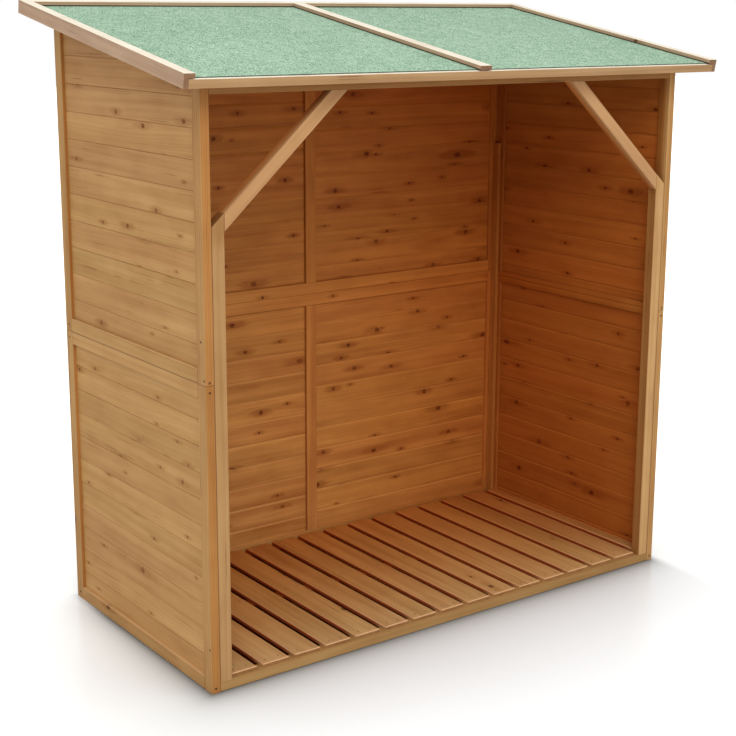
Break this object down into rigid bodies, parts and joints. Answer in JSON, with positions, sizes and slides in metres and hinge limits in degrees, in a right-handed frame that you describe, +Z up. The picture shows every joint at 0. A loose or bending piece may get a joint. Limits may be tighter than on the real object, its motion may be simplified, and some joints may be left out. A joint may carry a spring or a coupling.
{
  "type": "log store",
  "caption": "Open-fronted wooden log store with boarded sides and back, slatted floor and a sloping felted roof.",
  "frame": {"origin": "on the ground under the middle of the store's footprint, on the underside of the middle floor bearer", "axes": "+X along the open front to the right as one looks in, +Y from the open front to the back wall, +Z up"},
  "size_m": [1.986, 1.018, 1.9298],
  "materials": {
    "frame_timber": "planed softwood, honey-brown dip stain, matt",
    "cladding": "knotty tongue-and-groove softwood boards, honey-brown dip stain, matt",
    "front_timber": "planed softwood, honey-brown dip stain, matt",
    "floor_timber": "planed softwood slats, honey-brown dip stain, matt",
    "roof_timber": "pale planed softwood edging, matt",
    "roof_underside": "softwood boards and battens, matt",
    "roof_felt": "bitumen felt with fine green mineral granules, rough",
    "fixings": "dull zinc-plated steel nail and screw heads"
  },
  "bodies": {
    "root": {"back_lower_cladding": "cladding", "back_lower_rails": "frame_timber", "back_lower_stiles": "frame_timber", "back_upper_cladding": "cladding", "back_upper_rails": "frame_timber", "back_upper_stiles": "frame_timber", "centre_batten": "roof_timber", "fascia": "roof_timber", "floor_bearers": "floor_timber", "floor_slats": "floor_timber", "header": "front_timber", "left_brace": "front_timber", "left_corner_batten": "frame_timber", "left_edge_board": "roof_timber", "left_inner_beads": "frame_timber", "left_lower_cladding": "cladding", "left_lower_front_stile": "frame_timber", "left_lower_rails": "frame_timber", "left_lower_rear_stile": "frame_timber", "left_post": "front_timber", "left_roof_deck": "roof_underside", "left_roof_felt": "roof_felt", "left_upper_bottom_rail": "frame_timber", "left_upper_cladding": "cladding", "left_upper_front_stile": "frame_timber", "left_upper_rear_stile": "frame_timber", "left_upper_top_rail": "frame_timber", "rear_edge_board": "roof_timber", "right_brace": "front_timber", "right_corner_batten": "frame_timber", "right_edge_board": "roof_timber", "right_inner_beads": "frame_timber", "right_lower_cladding": "cladding", "right_lower_front_stile": "frame_timber", "right_lower_rails": "frame_timber", "right_lower_rear_stile": "frame_timber", "right_post": "front_timber", "right_roof_deck": "roof_underside", "right_roof_felt": "roof_felt", "right_upper_bottom_rail": "frame_timber", "right_upper_cladding": "cladding", "right_upper_front_stile": "frame_timber", "right_upper_rear_stile": "frame_timber", "right_upper_top_rail": "frame_timber", "roof_battens": "roof_underside", "sill": "front_timber"}
  },
  "joints": []
}
